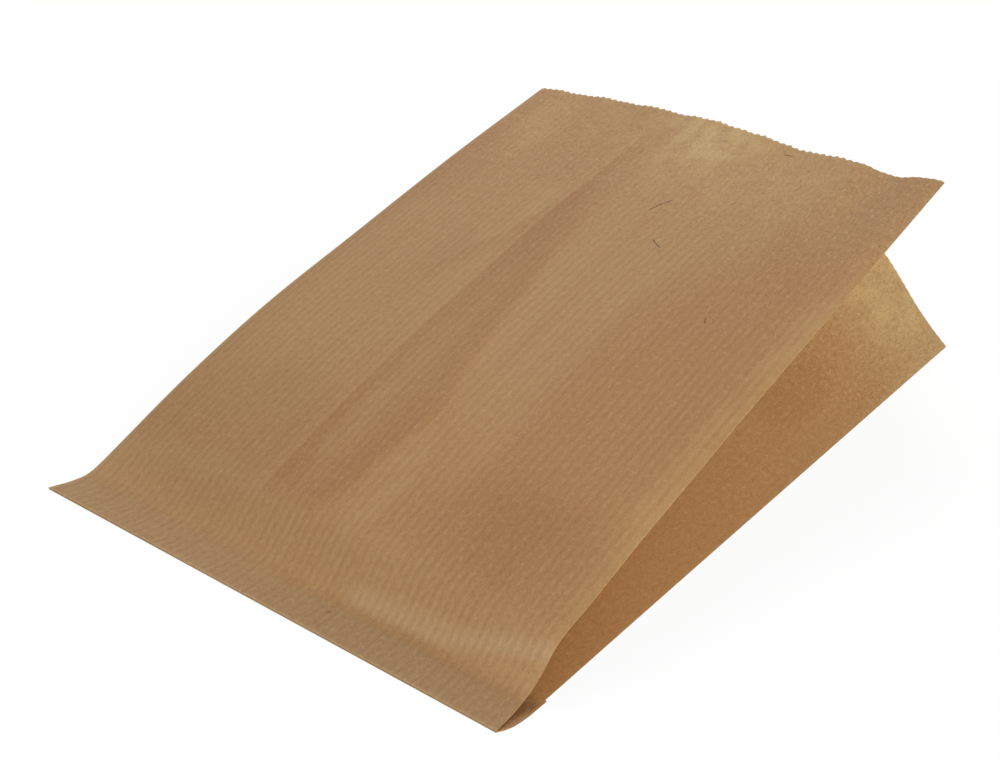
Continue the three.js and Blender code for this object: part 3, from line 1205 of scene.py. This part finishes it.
    def _zones(self, sheet: SheetLayout) -> Socket:
        """Lay the warm, pale and dark zones over the plain paper: the paper's own tones, with
        painted shade and painted light.

        Args:
            sheet: The sheet's layout.

        Returns:
            The colour's socket.
        """
        graph, along, grain = sheet.graph, sheet.along, sheet.noise(self.grain)
        colour = self.faint_streaks.lay(graph, self.paper, 1.0, sheet.noise(self.streaks))
        # Reddish tone, partly the paper's own, partly painted shade of the front's valleys and
        # hollows.
        red = sum(
            (streak.mask(along, sheet.from_left) for streak in self.red_shade_streaks),
            sheet.patches(self.red_shade_patches),
        )
        red = red * self.red_shade_swing.by(sheet.noise(self.uneven))
        colour = graph.blend(red, colour, self.warm)
        # Painted shade deep in the gussets and painted glow by their mouth.
        for tone in self.gusset_shade_and_glow:
            colour = tone.lay(graph, colour, sheet.on_gusset, along)
        cloud = self.flock_levels.at(sheet.noise(self.flock))
        cloud = cloud * self.cloud_swing.by(self.cloud_levels.at(grain))
        # Painted light through the paper, broken up by the paper's formation.
        light_through = sheet.patches(self.painted_light_patches) * self.light_through_swing.by(cloud)
        colour = self.painted_glow_clouds.lay(graph, colour, light_through)
        # Painted shade patches.
        colour = graph.blend(sheet.patches(self.painted_shade_patches), colour, self.dark)
        # Painted highlight on the front's rise above the bottom strip.
        colour = self.bend.lay(graph, colour, sheet.on_front, along)
        knee_highlight = self.knee_highlight.mask(sheet.from_left, along) * sheet.on_front
        colour = graph.blend(knee_highlight * self.knee_highlight_swing.by(grain), colour, self.highlight_beige)
        # Greyer bottom strip and painted crease shade.
        for tone in self.strip_grey_and_crease_shade:
            colour = tone.lay(graph, colour, sheet.on_front, along)
        return colour

    def _texture(self, sheet: SheetLayout, colour: Socket, near_mouth: Value) -> Socket:
        """Lay the grain, specks, fibres and wear over the zones.

        Args:
            sheet: The sheet's layout.
            colour: The colour so far.
            near_mouth: 1 by the mouth, 0 away from it.

        Returns:
            The colour's socket.
        """
        graph = sheet.graph
        plain, mouth, gusset = self.texture
        texture = plain + near_mouth * mouth + sheet.on_gusset * gusset
        for noise, tone in self.grain_tones:
            colour = tone.lay(graph, colour, texture, sheet.noise(noise))
        colour = self.specks.lay(graph, colour, 1.0, sheet.noise(self.speckle))
        for fibre in self.fibres:
            colour = self.fibre.lay(graph, colour, fibre.mask(sheet))
        return self.worn.lay(graph, colour, self._wear(sheet))

    def _wear(self, sheet: SheetLayout) -> Value:
        """Return how worn the paper is: at its folds and along its two ends."""
        wear = self.mouth_wear.before(sheet.length).at(sheet.along)
        wear = wear + self.bottom_wear.at(sheet.along)
        for fold in sheet.starts[1:-1]:
            wear = wear + self.fold_wear.at(abs(sheet.across - fold)) * self.fold_wear_strength
        return wear * self.wear_swing.by(self.scuff_levels.at(sheet.noise(self.scuff)))

    def material(self, bag: PaperBag) -> bpy.types.Material:
        """Make the paper's material.

        Args:
            bag: The bag, whose panel widths place the marks on the sheet.

        Returns:
            The material.
        """
        graph = ShaderGraph("ribbed_kraft")
        sheet = SheetLayout(graph, bag)
        fine, grain, flock = map(sheet.noise, (self.fine, self.grain, self.flock))
        near_mouth = self.mouth_zone.before(sheet.length).at(sheet.along)
        rib = ((sheet.across + grain * self.rib_wander) * (2 * math.pi / self.rib_pitch)).sine()
        mouth_loss, gusset_loss = self.rib_loss
        depth = (1.0 - near_mouth * mouth_loss) * (1.0 - sheet.on_gusset * gusset_loss)
        depth = depth * self.rib_swing.by(sheet.noise(self.uneven))
        colour = self.troughs.lay(graph, self._zones(sheet), (rib * 0.5 + 0.5) * depth)
        colour = self._texture(sheet, colour, near_mouth)

        seam_edge = (sheet.starts[1] + bag.sizes.seam_width) / 2
        overlap = sheet.across.smooth(seam_edge - self.seam_ease, seam_edge + self.seam_ease)
        raised = zip((rib * depth, fine, grain, flock), self.heights)
        height = sum((form * share for form, share in raised), overlap)
        bump = graph.node(
            "ShaderNodeBump",
            inputs={"Strength": self.bump, "Distance": bag.sizes.paper * MM, "Height": height},
        )
        roughness = self.roughness + fine * self.fine_roughness - flock * self.flock_gloss
        surface = graph.node(
            "ShaderNodeBsdfPrincipled",
            inputs={
                "Base Color": colour,
                "Roughness": roughness,
                "Normal": bump.outputs["Normal"],
                "Specular IOR Level": self.specular,
            },
        )
        graph.tree.links.new(surface.outputs["BSDF"], graph.output.inputs["Surface"])
        return graph.material


@dataclass(frozen=True)
class StudioCamera:
    """The photograph's viewpoint, in degrees, millimetres and pixels, with its sight in metres."""

    azimuth: float = 37.28
    elevation: float = 35.25
    roll: float = 0.46
    target: Point = (-11.764, 9.903, 0.0)
    distance: float = 728.5
    focal_pixels: float = 2801.6
    image_width: float = 1000.0
    sensor: float = 36.0
    sight: tuple[float, float] = (0.01, 20.0)

    def build(self) -> None:
        """Make the camera and use it."""
        turn, rise, roll = map(math.radians, (self.azimuth, self.elevation, self.roll))
        back = Vector((
            math.sin(turn) * math.cos(rise), -math.cos(turn) * math.cos(rise), math.sin(rise)
        ))
        level = Vector((math.cos(turn), math.sin(turn), 0.0))
        upright = back.cross(level)
        right = level * math.cos(roll) + upright * math.sin(roll)
        up = upright * math.cos(roll) - level * math.sin(roll)
        data = bpy.data.cameras.new("photo_camera")
        data.sensor_width = self.sensor
        data.lens = self.focal_pixels * self.sensor / self.image_width
        data.clip_start, data.clip_end = self.sight
        camera = bpy.data.objects.new("photo_camera", data)
        place = (Vector(self.target) + back * self.distance) * MM
        axes = Matrix((right, up, back)).transposed()
        camera.matrix_world = Matrix.Translation(place) @ axes.to_4x4()
        bpy.context.scene.collection.objects.link(camera)
        bpy.context.scene.camera = camera


@dataclass(frozen=True)
class SoftLight:
    """One square softbox aimed at the bag. Lengths are in metres."""

    name: str
    place: Point
    size: float
    power: float

    def build(self) -> None:
        """Make the light."""
        data = bpy.data.lights.new(self.name, "AREA")
        data.shape = "SQUARE"
        data.size = self.size
        data.energy = self.power
        light = bpy.data.objects.new(self.name, data)
        light.location = self.place
        light.rotation_mode = "QUATERNION"
        light.rotation_quaternion = (-Vector(self.place)).to_track_quat("-Z", "Y")
        bpy.context.scene.collection.objects.link(light)


@dataclass(frozen=True)
class Studio:
    """Pale floor, even white surroundings and soft lamps."""

    floor_size: float = 6.0
    floor_lines: int = 13
    floor_grey: float = 0.92
    floor_mottle: float = 0.06
    mottle_dimming: float = 0.97
    floor_glow: float = 0.88
    glow_strength: float = 1.03
    surround: float = 0.47
    lights: tuple[SoftLight, ...] = (
        SoftLight("back_left_softbox", (-0.7, 0.6, 0.85), 0.7, 8.2),
        SoftLight("right_softbox", (0.93, -0.42, 0.35), 0.6, 7.6),
        SoftLight("front_softbox", (0.5, -0.88, 0.38), 0.5, 1.6),
    )

    def _floor_material(self) -> bpy.types.Material:
        """Make the floor's material, white to the camera except where the bag shades it."""
        graph = ShaderGraph("pale_floor")
        mottle = graph.noise(*graph.sheet_place(), salt=2.0) * self.floor_mottle
        dimmed = self.floor_grey * self.mottle_dimming
        paint = graph.blend(mottle, (self.floor_grey,) * 3, (dimmed,) * 3)
        matt = graph.node("ShaderNodeBsdfDiffuse", inputs={"Color": paint})
        glow = graph.node(
            "ShaderNodeEmission",
            inputs={"Color": (1.0, 1.0, 1.0, 1.0), "Strength": self.glow_strength},
        )
        path = graph.node("ShaderNodeLightPath")
        seen = Value(graph, path.outputs["Is Camera Ray"])
        shown = graph.node(
            "ShaderNodeMixShader",
            inputs={0: seen * self.floor_glow, 1: matt.outputs[0], 2: glow.outputs[0]},
        )
        graph.tree.links.new(shown.outputs[0], graph.output.inputs["Surface"])
        return graph.material

    def _floor(self) -> None:
        """Make the floor, a fine grid level with the bag's underside."""
        data = MeshData()
        places = np.linspace(-self.floor_size / 2, self.floor_size / 2, self.floor_lines) / MM
        starts = []
        for y in places:
            row = np.stack([places, np.full_like(places, y), np.zeros_like(places)], axis=-1)
            starts.append(data.add_row(row, row[:, :2]))
        for low, high in zip(starts, starts[1:]):
            data.join(low, high, len(places), closed=False, flipped=False)
        floor = data.to_object("floor", np.zeros(3))
        floor.data.materials.append(self._floor_material())

    def _world(self) -> None:
        """Light the bag evenly, and show pure white behind it."""
        world = bpy.data.worlds.new("white_room")
        world.use_nodes = True
        tree = world.node_tree
        tree.nodes.clear()
        path = tree.nodes.new("ShaderNodeLightPath")
        strength = tree.nodes.new("ShaderNodeMix")
        strength.data_type = "FLOAT"
        strength.inputs[2].default_value = self.surround
        strength.inputs[3].default_value = 1.0
        light = tree.nodes.new("ShaderNodeBackground")
        output = tree.nodes.new("ShaderNodeOutputWorld")
        tree.links.new(path.outputs["Is Camera Ray"], strength.inputs[0])
        tree.links.new(strength.outputs[0], light.inputs["Strength"])
        tree.links.new(light.outputs[0], output.inputs["Surface"])
        bpy.context.scene.world = world

    def build(self) -> None:
        """Make the floor, the surroundings and the lamps."""
        self._floor()
        self._world()
        for light in self.lights:
            light.build()


def main() -> None:
    """Build the bag, dress it and set the studio around it."""
    logging.basicConfig(level=logging.INFO, format="%(name)s: %(message)s")
    bpy.context.scene.view_settings.view_transform = "Standard"
    bag = PaperBag(BagSizes(), BagLie())
    pieces = bag.build()
    paper = RibbedKraft().material(bag)
    for piece in pieces:
        piece.data.materials.append(paper)
        log.info("%s has %d faces", piece.name, len(piece.data.polygons))
    StudioCamera().build()
    Studio().build()


if __name__ == "__main__":
    main()
